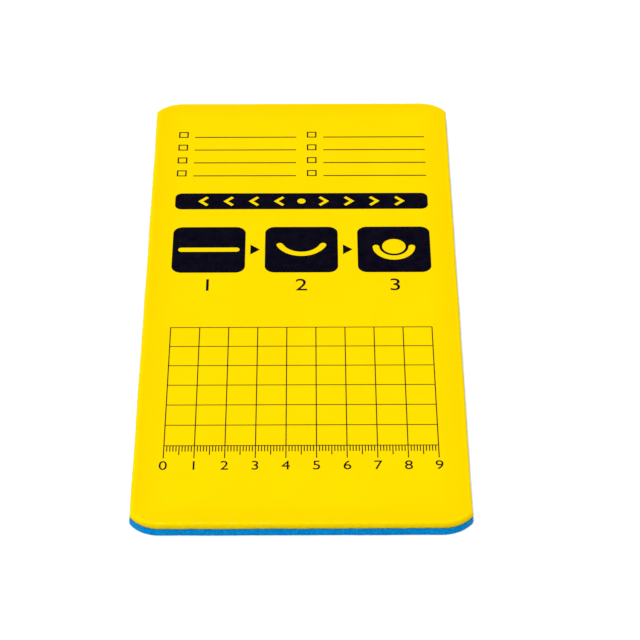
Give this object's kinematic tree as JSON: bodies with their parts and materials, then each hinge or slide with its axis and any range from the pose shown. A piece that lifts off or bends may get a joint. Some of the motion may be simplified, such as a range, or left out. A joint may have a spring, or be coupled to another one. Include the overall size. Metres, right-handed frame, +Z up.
{
  "type": "aluminium foam splint",
  "caption": "Flat oblong splint strip with punched round corners: a thin aluminium sheet sealed between yellow and blue foam, bent by hand around a limb and bandaged on.",
  "frame": {"origin": "middle of the lower, blue face, which lies on the surface", "axes": "+Y along the strip's length, +X across its width, +Z up out of the yellow face"},
  "size_m": [0.11, 0.23, 0.0049],
  "materials": {
    "yellow_foam": "closed-cell foam with a smooth matte skin, cells open at the cut edge",
    "blue_foam": "closed-cell foam with a fine speckled skin, cells open at the cut edge",
    "aluminium": "mill-rolled soft sheet"
  },
  "bodies": {
    "root": {"yellow_foam": "yellow_foam", "aluminium_core": "aluminium", "blue_foam": "blue_foam"}
  },
  "joints": []
}
